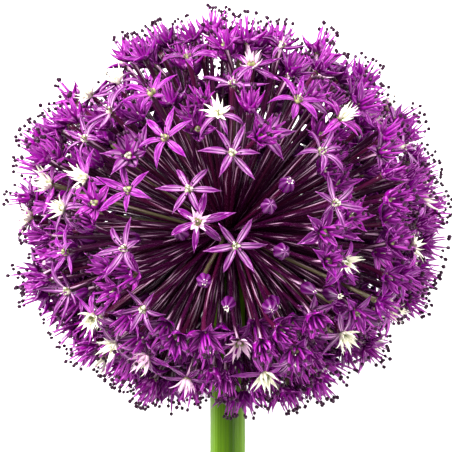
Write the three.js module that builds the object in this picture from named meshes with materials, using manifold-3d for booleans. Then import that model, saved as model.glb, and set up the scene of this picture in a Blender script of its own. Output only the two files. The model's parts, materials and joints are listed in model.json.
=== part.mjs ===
// An allium flower head on its cut stalk, lying on a surface with its best side up.
//
// Lengths are in millimetres and angles in degrees. The head is laid out in a frame of its own:
// the origin is the middle of the receptacle, +Z runs along the stalk away from the cut, and -Y
// is the side that faces up once the flower is laid down. A direction from the receptacle has an
// azimuth, measured from -Y towards +X, and a polar angle, measured from +Z.

import * as THREE from "three";
import { mergeVertices } from "three/addons/utils/BufferGeometryUtils.js";
import Module from "manifold-3d";

const wasm = await Module();
wasm.setup();

// The head: florets end on an ellipsoid that is a little higher than the receptacle.
const HEAD_RADIUS = 81;
const HEAD_HALF_HEIGHT = 75;
const HEAD_OFFSET = 10;
const HEAD_SPAN = 161;

// The stalk and how it lies: its cut end and the flattened side of the head rest on the surface.
const STALK_RADIUS = 6.2;
const STALK_CUT_RADIUS = 6.5;
const STALK_TILT = 20;
const REST_FLAT = 3.5;
const STALK_SIDES = 12;
const RECEPTACLE_RADIUS = 8;
const RECEPTACLE_SPAN = 126;
const RECEPTACLE_STEPS = 6;
const NECK_LENGTH = 11;

// Florets and the clusters they grow in. Each cluster's pedicels share one foot. The middle of
// the upper side is a window into the head, where only the featured florets stand. A gap is kept
// between clusters, and the skin is a thinner margin that shields a cluster's own stems.
const SPIRAL_COUNT = 900;
const WINDOW = 25;
const CLUSTER_COUNT = 52;
const FEATURED_SPACING = 8;
const SCATTER = 4.5;
const FOOT_SPAN = 112;
const FOOT_RADIUS = 1.35;
const FOOT_HEIGHT = 2.4;
const FOOT_SIDES = 6;
const FOOT_SPREAD = 0.45;
const PEDICEL_RADIUS = 0.65;
const PEDICEL_ROOT_RADIUS = 0.2;
const FLORET_SIDES = 4;
const GAP = 0.3;
const SKIN = 0.05;
const FLOWER_SHARE = 0.02;
const NEIGHBOUR_ANGLE = 45;
const MERGE_TOLERANCE = 0.03;

// Each kind of floret: the share of them that are of this kind, how far its tip is from the end
// of its pedicel, how deep it may sit inside the head and how far it leans. A star rises from its
// six petals to one point, and the others are widest at a [radius, height] below their tips.
const KINDS = {
  star: { share: 0, reach: 10, recess: [0, 5], lean: 0.25 },
  open: { share: 0.58, reach: 10, recess: [0, 20], lean: 0.7, widest: [4, 6] },
  half: { share: 0.25, reach: 10.5, recess: [0, 24], lean: 0.5, widest: [3, 6] },
  pale: { share: 0.07, reach: 6.5, recess: [3, 14], lean: 0.5, widest: [3.6, 4.5] },
  bud: { share: 0.1, reach: 8, recess: [10, 30], lean: 0.4, widest: [2.7, 3.5] },
};
const PETALS = 6;
const STAR_RADIUS = 10;
const STAR_NOTCH_RADIUS = 3.1;

// The florets that stand out on the upper side, as [azimuth, polar], and for a star its roll.
const FEATURED = {
  star: [
    [2, 90, 0], [-10, 76, -10], [1, 67, 8], [-27, 76, 20], [-28, 91, 45], [-27, 109, 35],
    [-19, 61, 0], [-27, 48, 10], [-20, 32, 30], [32, 27, 15], [23, 51, 20], [2, 42, 50],
    [30, 79, 10], [28, 65, 35], [62, 64, 5], [62, 108, 40], [30, 132, 25], [-46, 62, 0],
    [-50, 92, 20], [-58, 104, 50], [-40, 54, 10],
  ],
  pale: [
    [-52, 41], [-68, 45], [-88, 70], [-44, 72], [-57, 80], [-86, 84], [-3, 54], [-8, 84],
    [-85, 30], [12, 33], [55, 33], [88, 42], [70, 77], [-60, 117], [-46, 111], [-45, 122],
    [-42, 134], [-21, 140], [38, 95], [72, 91], [43, 118], [5, 128],
  ],
  bud: [
    [-18, 86], [12, 79], [16, 92], [27, 104], [38, 107], [1, 114], [15, 111], [20, 71],
    [-22, 126], [56, 126], [-8, 101],
  ],
};

const COLOURS = { scape: "#7d9a3a", floret_cluster: "#7d2279" };
const ROUGHNESS = { scape: 0.45, floret_cluster: 0.5 };

const GOLDEN_ANGLE = 137.508;
const RANDOM_SEED = 2024;
const RANDOM_FACTOR = 16807;
const RANDOM_MODULUS = 2147483647;
const DRAWS_PER_FLORET = 8;

const radians = THREE.MathUtils.degToRad;
const UP = new THREE.Vector3(0, 1, 0);
const FORWARD = new THREE.Vector3(0, 0, 1);

let seed = RANDOM_SEED;

function random() {
  seed = (seed * RANDOM_FACTOR) % RANDOM_MODULUS;
  return seed / RANDOM_MODULUS;
}

function draws() {
  return Array.from({ length: DRAWS_PER_FLORET }, random);
}

function direction(azimuth, polar) {
  const a = radians(azimuth);
  const p = radians(polar);
  return new THREE.Vector3(Math.sin(p) * Math.sin(a), -Math.sin(p) * Math.cos(a), Math.cos(p));
}

// How high a vector of the head's frame climbs once the flower is laid down.
function climb(vector) {
  return vector.z * Math.sin(radians(STALK_TILT)) - vector.y * Math.cos(radians(STALK_TILT));
}

// The height of the receptacle's middle above the surface: the ellipsoid's, less the flattening.
const RECEPTACLE_HEIGHT =
  Math.hypot(
    HEAD_RADIUS * Math.cos(radians(STALK_TILT)),
    HEAD_HALF_HEIGHT * Math.sin(radians(STALK_TILT)),
  ) -
  REST_FLAT -
  HEAD_OFFSET * Math.sin(radians(STALK_TILT));

// The stalk is as long as it takes for the lower edge of its cut to touch the surface.
const STALK_LENGTH =
  (RECEPTACLE_HEIGHT - STALK_CUT_RADIUS * Math.cos(radians(STALK_TILT))) /
  Math.sin(radians(STALK_TILT));

// The distance from the receptacle to the head's ellipsoid along a direction.
function envelope(way) {
  const a =
    (way.x ** 2 + way.y ** 2) / HEAD_RADIUS ** 2 + way.z ** 2 / HEAD_HALF_HEIGHT ** 2;
  const b = (-2 * way.z * HEAD_OFFSET) / HEAD_HALF_HEIGHT ** 2;
  const c = (HEAD_OFFSET / HEAD_HALF_HEIGHT) ** 2 - 1;
  return (-b + Math.sqrt(b * b - 4 * a * c)) / (2 * a);
}

// Directions spread evenly from +Z down to a polar angle, along a spiral.
function spiral(count, span) {
  const depth = 1 - Math.cos(radians(span));
  return Array.from({ length: count }, (_, i) => ({
    azimuth: (i * GOLDEN_ANGLE) % 360,
    polar: THREE.MathUtils.radToDeg(Math.acos(1 - (depth * (i + 0.5)) / count)),
  }));
}

function kindFor(draw) {
  let sum = 0;
  for (const [name, kind] of Object.entries(KINDS)) {
    sum += kind.share;
    if (draw < sum) return name;
  }
  return "open";
}

// One floret: where its pedicel ends, which way it faces and how it is rolled about that way.
// A floret that would reach through the surface gets a shorter pedicel, so its tip rests on it.
function makeFloret(kind, way, drawn, roll) {
  const [, , , depth, leanX, leanY, leanZ, turn] = drawn;
  const { reach, recess, lean } = KINDS[kind];
  const aside = new THREE.Vector3(leanX - 0.5, leanY - 0.5, leanZ - 0.5);
  const facing = way.clone().addScaledVector(aside, lean).normalize();
  let length = envelope(way) - reach - THREE.MathUtils.lerp(recess[0], recess[1], depth ** 2);
  if (climb(way) < 0) {
    const room = RECEPTACLE_HEIGHT + reach * climb(facing);
    length = Math.min(length, room / -climb(way));
  }
  const seat = way.clone().multiplyScalar(length);
  return { kind, way, facing, seat, turn: roll ?? 360 * turn };
}

function makeFlorets() {
  const florets = [];
  for (const [kind, angles] of Object.entries(FEATURED)) {
    for (const [azimuth, polar, roll] of angles) {
      florets.push(makeFloret(kind, direction(azimuth, polar), draws(), roll));
    }
  }
  const featured = florets.map((floret) => floret.way);
  const isClear = (way) =>
    way.angleTo(direction(0, 90)) > radians(WINDOW) &&
    featured.every((other) => way.angleTo(other) > radians(FEATURED_SPACING));
  for (const { azimuth, polar } of spiral(SPIRAL_COUNT, HEAD_SPAN)) {
    const drawn = draws();
    const sideways = (SCATTER * (drawn[0] - 0.5)) / Math.sin(radians(polar));
    const along = SCATTER * (drawn[1] - 0.5);
    const way = direction(azimuth + sideways, Math.min(polar + along, HEAD_SPAN));
    if (isClear(way)) florets.push(makeFloret(kindFor(drawn[2]), way, drawn));
  }
  return florets;
}

// The foot of a pedicel that runs along a direction: those of low florets are drawn up, so that
// they leave the receptacle above the stalk.
function footOf(way, distance) {
  const polar = way.angleTo(FORWARD);
  const raised = (polar * FOOT_SPAN) / HEAD_SPAN;
  const flat = new THREE.Vector3(way.x, way.y, 0).normalize().multiplyScalar(Math.sin(raised));
  return flat.setZ(Math.cos(raised)).multiplyScalar(distance);
}

// A three.js geometry as a manifold-3d solid.
function solidOf(geometry, matrix) {
  const loose = geometry.index ? geometry.toNonIndexed() : geometry;
  const bare = new THREE.BufferGeometry();
  bare.setAttribute("position", loose.getAttribute("position"));
  const merged = mergeVertices(bare.applyMatrix4(matrix));
  return new wasm.Manifold(
    new wasm.Mesh({
      numProp: 3,
      vertProperties: merged.getAttribute("position").array,
      triVerts: new Uint32Array(merged.index.array),
    }),
  );
}

function geometryOf(solid) {
  const mesh = solid.getMesh();
  const geometry = new THREE.BufferGeometry();
  geometry.setAttribute("position", new THREE.BufferAttribute(mesh.vertProperties, 3));
  geometry.setIndex(new THREE.BufferAttribute(mesh.triVerts, 1));
  geometry.computeVertexNormals();
  return geometry;
}

// The matrix that moves the origin to a place, after a turn.
function placedAt(place, turn) {
  return new THREE.Matrix4().compose(place, turn, new THREE.Vector3(1, 1, 1));
}

// The middle of the short foot that joins a cluster's pedicels.
function footMiddle(cluster) {
  return footOf(cluster.way, RECEPTACLE_RADIUS + GAP + FOOT_HEIGHT / 2);
}

// A cluster's foot, thickened by a margin.
function foot(cluster, margin) {
  const radius = FOOT_RADIUS + margin;
  const height = FOOT_HEIGHT + 2 * margin;
  const middle = footMiddle(cluster);
  const turn = new THREE.Quaternion().setFromUnitVectors(UP, middle.clone().normalize());
  const geometry = new THREE.CylinderGeometry(radius, radius, height, FOOT_SIDES);
  return solidOf(geometry, placedAt(middle, turn));
}

// A star that rises from a flat back to a single point.
function starGeometry(radius, notchRadius, height) {
  const star = new THREE.Shape();
  for (let i = 0; i < 2 * PETALS; i++) {
    const r = i % 2 ? notchRadius : radius;
    const angle = (Math.PI * i) / PETALS;
    star.lineTo(r * Math.cos(angle), r * Math.sin(angle));
  }
  const geometry = new THREE.ExtrudeGeometry(star, { depth: height, bevelEnabled: false });
  const position = geometry.getAttribute("position");
  for (let i = 0; i < position.count; i++) {
    if (position.getZ(i) > height / 2) position.setXY(i, 0, 0);
  }
  return geometry;
}

// The solid round +Z through [radius, height] pairs, from its lower end to its upper end.
function turned(profile, sides) {
  const points = profile.map(([radius, height]) => new THREE.Vector2(radius, height));
  return new THREE.LatheGeometry(points, sides).rotateX(Math.PI / 2);
}

// A star without its pedicel, larger all round by a margin.
function star(floret, margin) {
  const height = KINDS.star.reach + 2 * margin;
  const geometry = starGeometry(STAR_RADIUS + margin, STAR_NOTCH_RADIUS + margin, height);
  const place = floret.seat.clone().addScaledVector(floret.facing, -margin);
  const turn = new THREE.Quaternion().setFromUnitVectors(FORWARD, floret.facing);
  return solidOf(geometry.rotateZ(radians(floret.turn)), placedAt(place, turn));
}

// Where a floret's pedicel starts inside its cluster's foot.
function rootOf(cluster, floret) {
  const middle = footMiddle(cluster);
  const own = footOf(floret.way, middle.length()).sub(middle).multiplyScalar(FOOT_SPREAD);
  return own.clampLength(0, FOOT_RADIUS - 2 * PEDICEL_ROOT_RADIUS).add(middle);
}

// The last share of a pedicel with whatever follows its end, a list of [radius, height] pairs, as
// one solid that is thickened by a margin and bends where the two meet.
function stemmed(cluster, floret, ending, margin, share) {
  const along = floret.seat.clone().sub(rootOf(cluster, floret));
  const low = -share * along.length();
  const profile = [
    [0, low],
    [PEDICEL_ROOT_RADIUS + margin, low],
    [PEDICEL_RADIUS + margin, 0],
    ...ending,
  ];
  const geometry = turned(profile, FLORET_SIDES);
  const position = geometry.getAttribute("position");
  const lie = new THREE.Quaternion().setFromUnitVectors(FORWARD, along.normalize());
  const bend = new THREE.Quaternion().setFromUnitVectors(along, floret.facing);
  for (let i = 0; i < position.count; i++) {
    const point = new THREE.Vector3().fromBufferAttribute(position, i);
    const isEnding = point.z > PEDICEL_RADIUS / 2;
    point.applyQuaternion(lie);
    if (isEnding) point.applyQuaternion(bend);
    position.setXYZ(i, ...point.add(floret.seat));
  }
  return solidOf(geometry, new THREE.Matrix4());
}

// A pedicel with a point that reaches into its floret.
function pedicel(cluster, floret, margin) {
  return stemmed(cluster, floret, [[0, PEDICEL_RADIUS + margin]], margin, 1);
}

// A floret with the last share of its pedicel.
function stemmedFlower(cluster, floret, margin, share) {
  const { reach, widest } = KINDS[floret.kind];
  if (!widest) return pedicel(cluster, floret, margin).add(star(floret, margin));
  const ending = [
    [widest[0] + 2 * margin, widest[1]],
    [0, reach + 2 * margin],
  ];
  return stemmed(cluster, floret, ending, margin, share);
}

function union(solids) {
  return wasm.Manifold.union(solids);
}

// The foot and pedicels of a cluster, thickened by a margin.
function stems(cluster, margin) {
  const pedicels = cluster.florets.map((floret) => pedicel(cluster, floret, margin));
  return union([foot(cluster, margin), ...pedicels]);
}

// Each floret goes to the nearest of the clusters' own directions.
function makeClusters(florets) {
  const clusters = spiral(CLUSTER_COUNT, HEAD_SPAN).map(({ azimuth, polar }) => ({
    way: direction(azimuth, polar),
    florets: [],
  }));
  for (const floret of florets) {
    const nearest = clusters.reduce((best, cluster) =>
      cluster.way.angleTo(floret.way) < best.way.angleTo(floret.way) ? cluster : best,
    );
    nearest.florets.push(floret);
  }
  return clusters;
}

// The largest connected piece of a solid.
function mainBody(solid) {
  return solid.decompose().reduce((best, body) => (body.volume() > best.volume() ? body : best));
}

// The clusters' solids. Petals stop short of the stems of the clusters around theirs, and of the
// petals of those that come before theirs.
function makeClusterSolids(clusters) {
  const roomForStems = clusters.map((cluster) => stems(cluster, GAP));
  const roomForPetals = clusters.map((cluster) =>
    union(cluster.florets.map((floret) => stemmedFlower(cluster, floret, GAP, FLOWER_SHARE))),
  );
  return clusters.map((cluster, i) => {
    const near = (_, j) =>
      j !== i && cluster.way.angleTo(clusters[j].way) < radians(NEIGHBOUR_ANGLE);
    const stemsAround = union(roomForStems.filter(near)).subtract(stems(cluster, SKIN));
    const petalsAround = union(roomForPetals.filter((room, j) => near(room, j) && j < i));
    const taken = stemsAround.add(petalsAround.subtract(roomForStems[i]));
    const florets = cluster.florets.map((floret) => stemmedFlower(cluster, floret, 0, 1));
    const whole = union([foot(cluster, 0), ...florets]).subtract(taken);
    return mainBody(whole.asOriginal().simplify(MERGE_TOLERANCE));
  });
}

// The stalk with the receptacle that swells at its top, which grew as one piece.
function makeScape() {
  const profile = [
    new THREE.Vector2(0, -STALK_LENGTH),
    new THREE.Vector2(STALK_CUT_RADIUS, -STALK_LENGTH),
    new THREE.Vector2(STALK_RADIUS, -NECK_LENGTH),
  ];
  for (let i = 0; i < RECEPTACLE_STEPS; i++) {
    const polar = radians(RECEPTACLE_SPAN * (1 - i / RECEPTACLE_STEPS));
    const radius = RECEPTACLE_RADIUS * Math.sin(polar);
    profile.push(new THREE.Vector2(radius, RECEPTACLE_RADIUS * Math.cos(polar)));
  }
  profile.push(new THREE.Vector2(0, RECEPTACLE_RADIUS));
  return new THREE.LatheGeometry(profile, STALK_SIDES).rotateX(Math.PI / 2);
}

function makePiece(name, geometry) {
  const type = name.replace(/_\d+$/, "");
  const material = new THREE.MeshStandardMaterial({
    color: COLOURS[type],
    roughness: ROUGHNESS[type],
    metalness: 0,
  });
  const mesh = new THREE.Mesh(geometry, material);
  mesh.name = name;
  return mesh;
}

const flowerHead = new THREE.Group();
flowerHead.add(makePiece("scape", makeScape()));
makeClusterSolids(makeClusters(makeFlorets())).forEach((solid, i) => {
  const number = String(i + 1).padStart(2, "0");
  flowerHead.add(makePiece("floret_cluster_" + number, geometryOf(solid)));
});

// Laid down, with the origin under the middle of the whole flower.
flowerHead.rotation.x = radians(STALK_TILT - 90);
const alliumFlowerHead = new THREE.Group();
alliumFlowerHead.add(flowerHead);
alliumFlowerHead.updateMatrixWorld(true);
const box = new THREE.Box3().setFromObject(alliumFlowerHead, true);
const middle = box.getCenter(new THREE.Vector3());
flowerHead.position.set(-middle.x, -middle.y, -box.min.z);

export default alliumFlowerHead;
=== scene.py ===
"""A cut allium flower head that lies on a pale surface, laid out as a Blender add-on.

Lengths that a user may change are properties, in metres. The head is laid out in a frame of its
own, in millimetres: the origin is the middle of the receptacle, +Z runs along the stalk away from
the cut, and -Y is the side that faces up once the flower lies down. A direction from the
receptacle has an azimuth, measured from -Y towards +X, and a polar angle, measured from +Z.
"""

import json
import math

import bpy
import numpy as np
from bpy.props import FloatProperty, FloatVectorProperty, IntProperty, PointerProperty
from bpy.types import Operator, Panel, PropertyGroup
from mathutils import Matrix, Quaternion, Vector

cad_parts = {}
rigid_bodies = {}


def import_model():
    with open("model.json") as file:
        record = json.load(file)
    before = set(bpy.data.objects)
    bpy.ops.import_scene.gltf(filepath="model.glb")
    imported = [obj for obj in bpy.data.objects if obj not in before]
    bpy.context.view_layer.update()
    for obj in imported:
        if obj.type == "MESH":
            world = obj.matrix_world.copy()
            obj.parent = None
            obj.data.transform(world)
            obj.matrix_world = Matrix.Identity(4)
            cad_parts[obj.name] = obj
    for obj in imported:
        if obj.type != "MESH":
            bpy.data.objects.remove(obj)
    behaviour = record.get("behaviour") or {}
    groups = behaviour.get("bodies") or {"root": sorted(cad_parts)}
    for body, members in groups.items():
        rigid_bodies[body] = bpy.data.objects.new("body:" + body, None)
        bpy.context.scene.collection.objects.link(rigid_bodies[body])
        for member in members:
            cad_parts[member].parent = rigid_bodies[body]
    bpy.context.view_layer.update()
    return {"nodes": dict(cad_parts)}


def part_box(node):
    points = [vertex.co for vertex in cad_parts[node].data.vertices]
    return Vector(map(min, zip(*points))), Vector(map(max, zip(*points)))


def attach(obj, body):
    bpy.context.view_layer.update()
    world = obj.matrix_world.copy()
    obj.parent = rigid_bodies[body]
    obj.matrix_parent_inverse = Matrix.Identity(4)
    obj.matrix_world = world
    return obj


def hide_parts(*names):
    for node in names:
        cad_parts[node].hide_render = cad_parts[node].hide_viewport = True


bl_info = {
    "name": "Allium Flower Head",
    "version": (1, 0, 0),
    "blender": (4, 5, 0),
    "location": "3D View > Sidebar > Allium",
    "description": "Builds a cut allium flower head that lies on a pale surface",
    "category": "Add Mesh",
}

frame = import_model()
BODY = "root"
SCAPE_NODE = "scape"
CLUSTER_NODES = sorted(name for name in frame["nodes"] if name != SCAPE_NODE)
MM = 0.001

# The head's layout, as the frame has it, in millimetres and degrees. The head is an ellipsoid
# whose middle is a little above the receptacle's, and florets fill it down to a polar angle.
HEAD_RADIUS = 81
HEAD_HALF_HEIGHT = 75
HEAD_OFFSET = 10
HEAD_SPAN = 161
STALK_RADIUS = 6.2
STALK_CUT_RADIUS = 6.5
STALK_TILT = math.radians(20)
NECK_LENGTH = 11
RECEPTACLE_RADIUS = 8
RECEPTACLE_SPAN = 126
# How far the florets that the head rests on give way.
REST_FLAT = 3.5
RECEPTACLE_HEIGHT = (
    math.hypot(HEAD_RADIUS * math.cos(STALK_TILT), HEAD_HALF_HEIGHT * math.sin(STALK_TILT))
    - REST_FLAT
    - HEAD_OFFSET * math.sin(STALK_TILT)
)
STALK_LENGTH = (RECEPTACLE_HEIGHT - STALK_CUT_RADIUS * math.cos(STALK_TILT)) / math.sin(STALK_TILT)
# Florets follow a scattered spiral, outside a window on the upper side and clear of the
# featured ones, and their stems' feet cover the receptacle down to a polar angle of FOOT_SPAN.
SPIRAL_COUNT = 900
GOLDEN_ANGLE = 137.508
SCATTER = 4.5
WINDOW = 25
FEATURED_SPACING = 8
FOOT_SPAN = 112
RANDOM_SEED = 2024
RANDOM_FACTOR = 16807
RANDOM_MODULUS = 2147483647
DRAWS_PER_FLORET = 8

# Each kind of floret: its share, how far its tip is from its seat, how deep it may sit and how
# far it leans.
KINDS = {
    "star": (0, 10, (0, 5), 0.25),
    "open": (0.58, 10, (0, 20), 0.7),
    "half": (0.25, 10.5, (0, 24), 0.5),
    "pale": (0.07, 6.5, (3, 14), 0.5),
    "bud": (0.1, 8, (10, 30), 0.4),
}

# The florets that stand out on the upper side, as (azimuth, polar), and for a star its roll.
FEATURED = {
    "star": (
        (2, 90, 0), (-10, 76, -10), (1, 67, 8), (-27, 76, 20), (-28, 91, 45), (-27, 109, 35),
        (-19, 61, 0), (-27, 48, 10), (-20, 32, 30), (32, 27, 15), (23, 51, 20), (2, 42, 50),
        (30, 79, 10), (28, 65, 35), (62, 64, 5), (62, 108, 40), (30, 132, 25), (-46, 62, 0),
        (-50, 92, 20), (-58, 104, 50), (-40, 54, 10),
    ),
    "pale": (
        (-52, 41), (-68, 45), (-88, 70), (-44, 72), (-57, 80), (-86, 84), (-3, 54), (-8, 84),
        (-85, 30), (12, 33), (55, 33), (88, 42), (70, 77), (-60, 117), (-46, 111), (-45, 122),
        (-42, 134), (-21, 140), (38, 95), (72, 91), (43, 118), (5, 128),
    ),
    "bud": (
        (-18, 86), (12, 79), (16, 92), (27, 104), (38, 107), (1, 114), (15, 111), (20, 71),
        (-22, 126), (56, 126), (-8, 101),
    ),
}

# Organs share one chart, in the UV map OFBake: a row for each part, a column for each tint and
# a margin inside each field.
TINTS = 4
CHART_MARGIN = 0.04
# How far through the noise the whole span of tints goes.
TINT_DEPTH = 37.0
# Shares of the tints, by kind of floret.
TINT_SHARES = {
    "star": (0.25, 0.0, 0.7, 0.05),
    "open": (0.36, 0.28, 0.16, 0.2),
    "half": (0.35, 0.2, 0.15, 0.3),
    "pale": (0.4, 0.2, 0.25, 0.15),
    "bud": (0.4, 0.4, 0.1, 0.1),
    "pedicel": (0.4, 0.3, 0.25, 0.05),
}

# Pedicels: where their feet are, as a share of the receptacle's radius, and then as shares of
# their length how far they bow, how far up the curve's first handle is, how far out it is pushed
# and how long the last handle is, and their radii, as (place along, share of the radius halfway).
PEDICEL_SEED = 7
PEDICEL_FOOT = 0.9
PEDICEL_BOW = 0.035
FIRST_HANDLE = 0.33
FIRST_PUSH = 0.03
LAST_HANDLE = 0.3
PEDICEL_FORM = (
    (0.0, 0.4), (0.015, 1.15), (0.15, 0.95), (0.35, 0.95), (0.6, 1.0), (0.85, 1.08), (0.96, 1.4),
    (0.995, 1.7), (1.0, 0.5),
)

# Half-widths along each blade, as shares of its widest, and an anther's radius, as a share of
# its length.
TEPAL_SHAPE = (0.42, 0.72, 0.94, 1.0, 0.92, 0.7, 0.3)
CUP_SHAPE = (0.34, 0.74, 1.0, 0.98, 0.76, 0.46, 0.16)
LOBE_SHAPE = (0.75, 1.0, 0.9, 0.55, 0.2)
FILAMENT_SHAPE = (1, 0.72, 0.42, 0.28, 0.25)
ANTHER_SHARE = 0.44

# The stalk: how many rings it and the receptacle have, how high its cut's bevel is, how far and
# how often it swells, the shares of its map that the cut end takes and its rim is at, and the
# radius of its closed ends. CUT_DISH is the cut end, as (radius, height above the rim). It isn't
# dished as made: the path turns back at the rim, where the sweep lays that ring on its side, and
# half of it stands out of the cut.
STALK_STEPS = 34
RECEPTACLE_STEPS = 10
CUT_BEVEL = 0.3
STALK_SWELL = 0.012
STALK_SWELLS = 5
CUT_SHARE = 0.06
CUT_RIM = 0.048
THIN_END = 0.02
CUT_DISH = (
    (THIN_END, 0.5), (1.6, 0.42), (3.4, 0.3), (5.0, 0.12), (5.9, 0.03),
    (STALK_CUT_RADIUS * 0.985, 0),
)

# How far above the surface the lowest organs stay.
REST_HEIGHT = 0.2
# The jump within a face by which a stem's seam is known in its map.
SEAM_STEP = 0.3

# The cells of each grain, as width and length in millimetres. Real skin has cells of about 0.04
# mm across, too fine to show, so each grain is drawn as coarse as it needs to show.
TEPAL_VEINS = (0.115, 5)
# Cells of the tepals' painted sheen glints.
TEPAL_GLINTS = (0.37, 3.1)
FILAMENT_GRAIN = (0.25, 6.2)
ANTHER_GRAIN = (0.26, 0.15)
OVARY_PEBBLES = (0.42, 0.2)
FRILL_GRAIN = (0.167, 2.9)
BUD_VEINS = (0.3, 3)
# Cells of the pedicels' painted highlight streaks.
PEDICEL_HIGHLIGHTS = (0.71, 27)
PEDICEL_GRAIN = (0.27, 2)
STALK_GRAIN = (0.43, 49)
STALK_TONES = (4.3, 164)
PAPER_FIBRES = 1.1
# A middling pedicel's length.
PEDICEL_LENGTH = 60

# The stage: half the surface's side and the lights' distance, in metres, and the camera's lens
# and how far it stands above the receptacle's middle and to its left, in millimetres.
SURFACE_HALF = 3.0
LIGHT_DISTANCE = 0.75
CAMERA_LENS = 109.7
CAMERA_ABOVE = 6.1
CAMERA_LEFT = 0.6

# The highest number drawn to pick an organ by, which wraps round past the last organ.
HIGHEST_PICK = 99

# The kinds of node that are used most.
MATH, VECTOR_MATH = "ShaderNodeMath", "ShaderNodeVectorMath"
RAMP, MAP_RANGE = "ShaderNodeValToRGB", "ShaderNodeMapRange"
COMBINE, SEPARATE = "ShaderNodeCombineXYZ", "ShaderNodeSeparateXYZ"
READ, STORE = "GeometryNodeInputNamedAttribute", "GeometryNodeStoreNamedAttribute"
SET_POSITION, SET_MATERIAL = "GeometryNodeSetPosition", "GeometryNodeSetMaterial"
RANDOM = "FunctionNodeRandomValue"


def linear(colour):
    """An sRGB hex colour as linear RGBA."""
    parts = [int(colour[i : i + 2], 16) / 255 for i in (1, 3, 5)]
    return tuple(c / 12.92 if c <= 0.04045 else ((c + 0.055) / 1.055) ** 2.4 for c in parts) + (1,)


def length_property(name, description, millimetres):
    default = millimetres * MM
    units = {"subtype": "DISTANCE", "unit": "LENGTH", "precision": 4}
    return FloatProperty(name=name, description=description, default=default, min=0, **units)


def colour_property(name, description, colour):
    limits = {"size": 4, "min": 0, "max": 1, "subtype": "COLOR"}
    default = linear(colour)
    return FloatVectorProperty(name=name, description=description, default=default, **limits)


class AlliumSizes(PropertyGroup):
    """Sizes of a floret's organs and of the stems."""

    tepal_length: length_property("Tepal Length", "From the floret's middle to a tepal's tip", 10.9)
    tepal_width: length_property("Tepal Width", "Across a star's tepal at its widest", 2.4)
    cup_length: length_property("Cup Length", "Along the tepals of a cupped floret", 9.6)
    cup_width: length_property("Cup Tepal Width", "Across them at their widest", 3.8)
    filament_length: length_property("Filament Length", "From base to anther", 9.9)
    filament_width: length_property("Filament Width", "Across a filament's base", 2.5)
    anther_length: length_property("Anther Length", "Along an anther", 1.5)
    ovary_radius: length_property("Ovary Radius", "Of the three-lobed ovary", 1.75)
    lobe_length: length_property("Frill Lobe Length", "Of a pale floret's lobes", 5.8)
    lobe_width: length_property("Frill Lobe Width", "Of a pale floret's lobes", 1.5)
    bud_length: length_property("Bud Length", "From pedicel to tip", 7.6)
    bud_radius: length_property("Bud Radius", "At a bud's widest", 2.9)
    pedicel_radius: length_property("Pedicel Radius", "Halfway along a pedicel", 0.68)
    ridge_depth: length_property("Ridge Depth", "How far the stalk's ridges rise", 0.05)
    ridges: IntProperty(name="Ridges", description="Round the stalk", default=34, min=3)


class AlliumColours(PropertyGroup):
    """Colours of the flower."""

    tepal: colour_property("Tepal", "The body of a tepal", "#840088")
    tepal_light: colour_property("Light Tepal", "The body of a brighter tepal", "#960c92")
    tepal_dark: colour_property("Dark Tepal", "The body of a darker tepal", "#700070")
    # The pale bands are partly the tepals' own paler flanks and partly painted highlight.
    tepal_band: colour_property("Tepal Bands", "Beside the midrib, on the upper face", "#f4b8ec")
    # Painted highlight: the sheen colour paints the tepals' glints and bright rims; it is also the
    # real paler colour of some bands and of tepal and filament tips.
    tepal_sheen: colour_property("Tepal Sheen", "Where folds and rims thin it", "#ee84e8")
    midrib: colour_property("Midrib", "The vein down a tepal's middle", "#36003a")
    filament: colour_property("Filament", "Stamens' broad stems", "#700072")
    anther: colour_property("Anther", "Anthers before they shed pollen", "#1e0b12")
    ovary: colour_property("Ovary", "The ovary's ridges", "#b0b478")
    groove: colour_property("Ovary Grooves", "Between the ovary's lobes", "#5c5e28")
    cream: colour_property("Cream", "A pale floret's frill", "#fffbea")
    pedicel: colour_property("Pedicel", "The pedicels' dark skin", "#38042c")
    pedicel_wine: colour_property("Wine Pedicel", "The redder pedicels' skin", "#4a0a30")
    pedicel_green: colour_property("Green Pedicel", "The unripe pedicels' skin", "#6a6044")
    # Painted highlight: the pale streaks along the pedicels.
    pedicel_highlight: colour_property("Pedicel Highlights", "Broken streaks along them", "#e8b6d8")
    stalk: colour_property("Stalk", "The stalk's green", "#4f7502")
    stalk_light: colour_property("Light Stalk", "Paler lengths of the stalk", "#6c9614")
    # The furrow colour is partly painted shade: it darkens the furrows and a band down one side, as
    # well as the real darker grain.
    stalk_shade: colour_property("Stalk Furrows", "Between the stalk's ridges", "#2a4600")


class AlliumStage(PropertyGroup):
    """The surface, the lights and the camera."""

    floor: colour_property("Surface", "What the flower lies on", "#f6f6f6")
    fibres: colour_property("Surface Fibres", "Its slightly darker fibres", "#f0f0f0")
    camera_distance: length_property("Camera Distance", "From the receptacle", 500)
    key_power: FloatProperty(name="Main Light", description="On the left", default=13.5, unit="POWER")
    fill_power: FloatProperty(name="Fill Light", description="On the right", default=6, unit="POWER")
    top_power: FloatProperty(name="Top Light", description="From above", default=4.5, unit="POWER")
    sky: FloatProperty(name="Surround", description="Brightness of the white tent", default=0.52)
    floor_glow: FloatProperty(name="Surface Glow", description="Light through it", default=0.45)


# ---------------------------------------------------------------- layout, in the head's own frame


def direction(azimuth, polar):
    a, p = math.radians(azimuth), math.radians(polar)
    return np.array((math.sin(p) * math.sin(a), -math.sin(p) * math.cos(a), math.cos(p)))


def angle_between(a, b):
    cosine = (a @ b) / math.sqrt((a @ a) * (b @ b))
    return math.degrees(math.acos(min(1, max(-1, cosine))))


def climb(vector):
    """How high a vector of the head's frame climbs once the flower is laid down."""
    return vector[2] * math.sin(STALK_TILT) - vector[1] * math.cos(STALK_TILT)


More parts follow.
